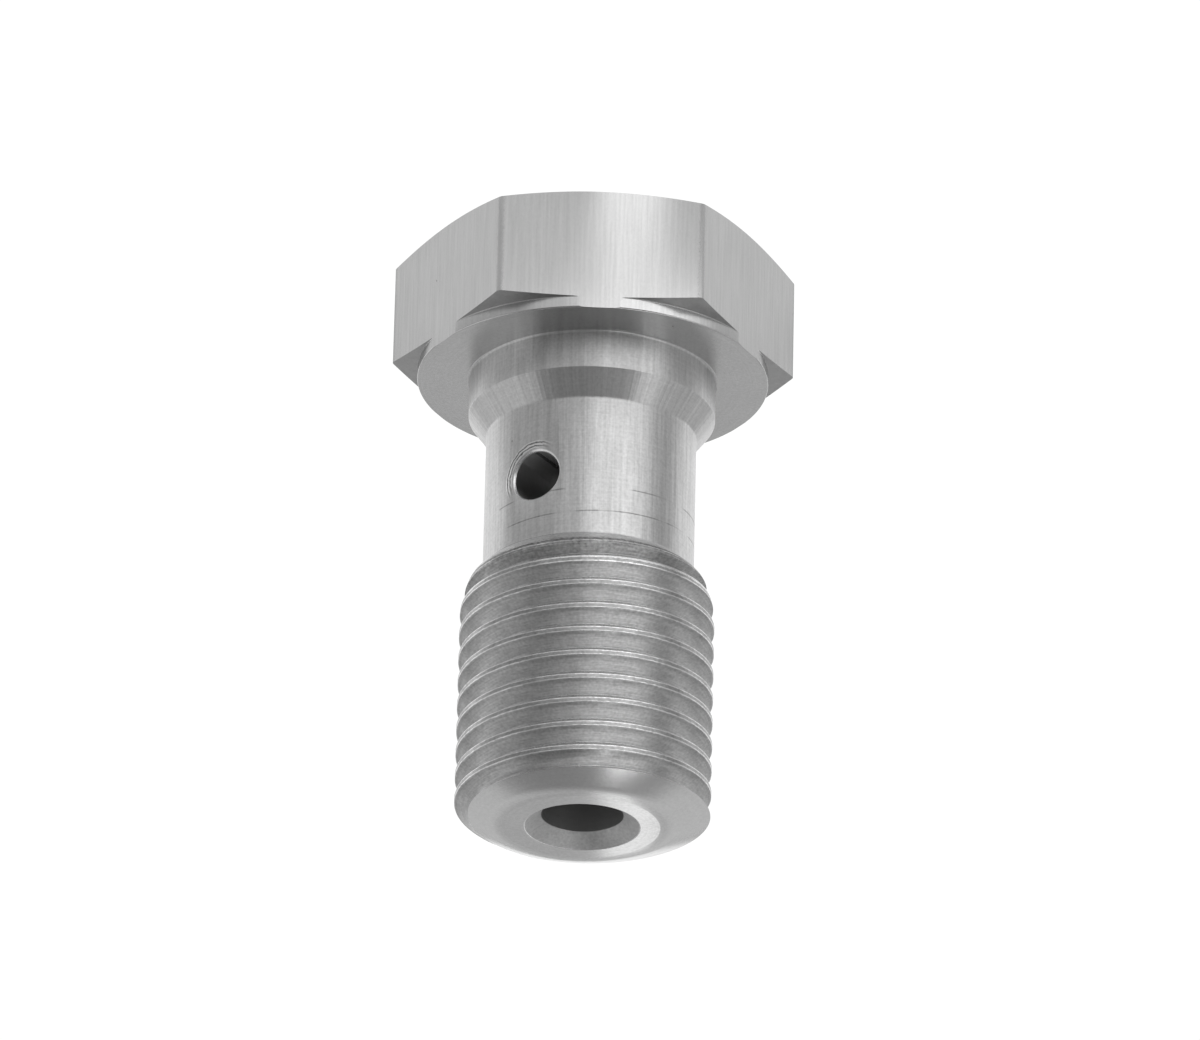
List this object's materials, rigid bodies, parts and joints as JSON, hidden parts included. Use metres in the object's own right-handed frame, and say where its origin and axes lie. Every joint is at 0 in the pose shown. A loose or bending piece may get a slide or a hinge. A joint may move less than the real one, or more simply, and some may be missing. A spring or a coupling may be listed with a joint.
{
  "type": "banjo bolt",
  "caption": "Hollow hexagon-head screw with a blind oil bore, a cross hole through its waisted shank and a fine right-hand thread; clamps a banjo fitting to a port.",
  "frame": {"origin": "centre of the head's flat outer face", "axes": "+Z along the bolt's axis from the head to the threaded tip; two corners of the hexagon lie on the X axis"},
  "size_m": [0.0158, 0.0138, 0.0243],
  "materials": {
    "steel": "bare satin steel, turned"
  },
  "bodies": {
    "root": {"banjo_bolt": "steel"}
  },
  "joints": []
}
